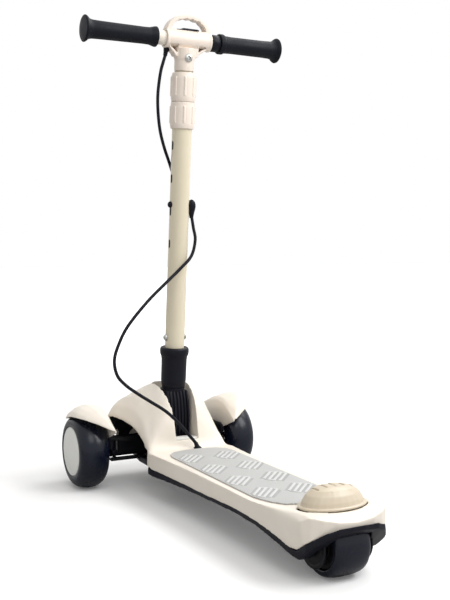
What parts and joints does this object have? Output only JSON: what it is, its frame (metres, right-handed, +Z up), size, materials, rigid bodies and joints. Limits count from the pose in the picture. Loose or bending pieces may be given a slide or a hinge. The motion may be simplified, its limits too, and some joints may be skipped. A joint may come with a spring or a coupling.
{
  "type": "three-wheel scooter",
  "caption": "Child's lean-to-steer scooter with a low deck, hollow front cowl, height-adjustable stem, carrying-loop handlebar head and a foot brake over the rear wheel.",
  "frame": {"origin": "centre of the overall length and width, on the floor under the wheels", "axes": "+Z up, +Y forward in the direction of travel, +X to the rider's right"},
  "size_m": [0.33, 0.6216, 0.7446],
  "materials": {
    "cream_abs": "cream moulded ABS, semi-gloss",
    "cream_paint": "cream powder coat on steel tube, satin",
    "black_plastic": "black glass-filled nylon, satin",
    "black_rubber": "black soft rubber, matte",
    "navy_tyre": "navy-black polyurethane, semi-gloss",
    "grey_mat": "light grey rubber with raised bars, matte",
    "grey_plastic": "light grey plastic, satin",
    "black_metal": "black painted aluminium, satin",
    "steel": "zinc-plated steel"
  },
  "bodies": {
    "chassis": {"body_shell": "cream_abs", "under_tray": "black_plastic", "deck_mat": "grey_mat", "cable_grommet": "black_rubber", "channel_floor": "grey_plastic", "battery_pack": "black_plastic", "controller_box": "black_plastic", "front_beam": "black_plastic", "lean_pivot_pin": "steel", "lean_spring": "steel", "kingpin_left": "steel", "kingpin_right": "steel", "rear_bracket_left": "steel", "rear_bracket_right": "steel", "rear_axle": "steel", "rear_axle_nut_left": "steel", "rear_axle_nut_right": "steel", "brake_hinge_pin": "steel", "brake_spring": "steel"},
    "stem": {"stem_base": "black_plastic", "stem_socket": "black_plastic", "lower_tube": "cream_paint", "stem_screw_left": "steel", "stem_screw_right": "steel", "collar_lower": "cream_abs", "clamp_sleeve": "black_plastic", "cable_clip": "black_rubber", "cable_lower": "black_rubber", "cable_upper": "black_rubber"},
    "collar": {"collar_upper": "cream_abs"},
    "column": {"upper_tube": "cream_paint", "t_head": "cream_abs", "head_screw": "steel", "cross_bar": "cream_abs", "grip_left": "black_rubber", "throttle_housing": "black_plastic", "head_panel": "black_plastic", "cable_gland": "black_rubber", "height_button": "steel"},
    "throttle": {"throttle_grip": "black_rubber"},
    "brake": {"brake_pedal": "cream_abs", "brake_pad": "black_rubber"},
    "steering_bar": {"tie_rod": "steel"},
    "knuckle_l": {"knuckle_left": "black_plastic", "fender_left": "cream_abs", "front_axle_left": "steel"},
    "knuckle_r": {"knuckle_right": "black_plastic", "fender_right": "cream_abs", "front_axle_right": "steel"},
    "wheel_l": {"tyre_left": "navy_tyre", "wheel_core_left": "black_plastic", "hub_cap_left": "grey_plastic", "wheel_bearing_left": "steel"},
    "wheel_r": {"tyre_right": "navy_tyre", "wheel_core_right": "black_plastic", "hub_cap_right": "grey_plastic", "wheel_bearing_right": "steel"},
    "rear_wheel": {"rear_tyre": "navy_tyre", "motor_hub": "black_metal"}
  },
  "joints": [
    {"name": "stem_lean", "type": "hinge", "parent": "chassis", "child": "stem", "pos_m": [0, 0.2033, 0.07], "axis": [0, 1, 0], "range_deg": [-4, 4], "stiffness_Nm_per_rad": 60},
    {"name": "tie_rod_slide", "type": "slide", "parent": "chassis", "child": "steering_bar", "axis": [1, 0, 0], "range_m": [-0.0019, 0.0019]},
    {"name": "steer_left", "type": "hinge", "parent": "chassis", "child": "knuckle_l", "pos_m": [-0.088, 0.251, 0.06], "axis": [0, 0, -1], "range_deg": [-6.1, 6.1]},
    {"name": "steer_right", "type": "hinge", "parent": "chassis", "child": "knuckle_r", "pos_m": [0.088, 0.251, 0.06], "axis": [0, 0, -1], "range_deg": [-6.1, 6.1]},
    {"name": "wheel_left_spin", "type": "hinge", "parent": "knuckle_l", "child": "wheel_l", "pos_m": [-0.131, 0.251, 0.06], "axis": [1, 0, 0], "continuous": true},
    {"name": "wheel_right_spin", "type": "hinge", "parent": "knuckle_r", "child": "wheel_r", "pos_m": [0.131, 0.251, 0.06], "axis": [1, 0, 0], "continuous": true},
    {"name": "rear_wheel_spin", "type": "hinge", "parent": "chassis", "child": "rear_wheel", "pos_m": [0, -0.264, 0.04], "axis": [1, 0, 0], "continuous": true},
    {"name": "brake_press", "type": "hinge", "parent": "chassis", "child": "brake", "pos_m": [0, -0.222, 0.068], "axis": [1, 0, 0], "range_deg": [0, 4.5], "stiffness_Nm_per_rad": 8, "springref_deg": -2.86},
    {"name": "collar_twist", "type": "hinge", "parent": "stem", "child": "collar", "pos_m": [0, 0.155, 0.62], "axis": [0, -0.0875, 0.9962], "range_deg": [0, 90]},
    {"name": "height_slide", "type": "slide", "parent": "stem", "child": "column", "axis": [0, -0.0875, 0.9962], "range_m": [0, 0.1024]},
    {"name": "throttle_twist", "type": "hinge", "parent": "column", "child": "throttle", "pos_m": [0.1, 0.1474, 0.7066], "axis": [1, 0, 0], "range_deg": [0, 30], "stiffness_Nm_per_rad": 0.15, "springref_deg": -8.59}
  ],
  "couplings": [
    {"joint": "tie_rod_slide", "follows": "stem_lean", "m_per_rad": -0.026},
    {"joint": "steer_left", "follows": "stem_lean", "ratio": 1.5},
    {"joint": "steer_right", "follows": "stem_lean", "ratio": 1.5}
  ]
}
